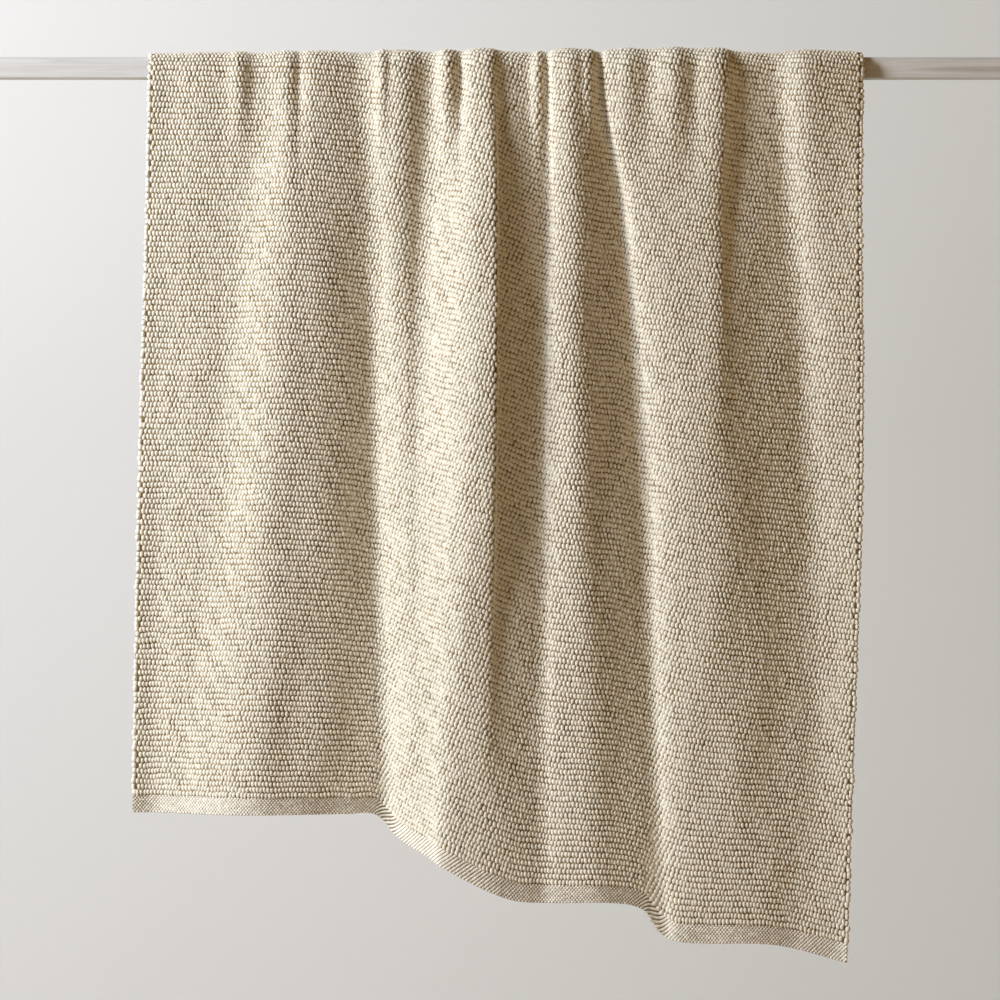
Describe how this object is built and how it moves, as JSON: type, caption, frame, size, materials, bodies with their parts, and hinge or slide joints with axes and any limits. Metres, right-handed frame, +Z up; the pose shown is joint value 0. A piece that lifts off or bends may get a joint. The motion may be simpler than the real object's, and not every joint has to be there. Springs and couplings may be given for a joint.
{
  "type": "woven throw on a rod",
  "caption": "Cream throw in a chunky pebble weave, hung askew in loose uneven folds over a plain flat-sided whitewashed wooden rod.",
  "frame": {"origin": "middle of the rod's left end face, as seen from the front", "axes": "+X along the rod to the viewer's right, -Y out of the front of the throw, +Z up"},
  "size_m": [1.54, 0.1878, 1.3264],
  "materials": {
    "cream_yarn": "chunky staggered pebble weave of soft matt cream yarn, with a fine flat weave at the hems",
    "pale_wood": "whitewashed flat-sided wooden rod, matt, with faint grain along its length"
  },
  "bodies": {
    "root": {"throw": "cream_yarn", "rod": "pale_wood"}
  },
  "joints": []
}
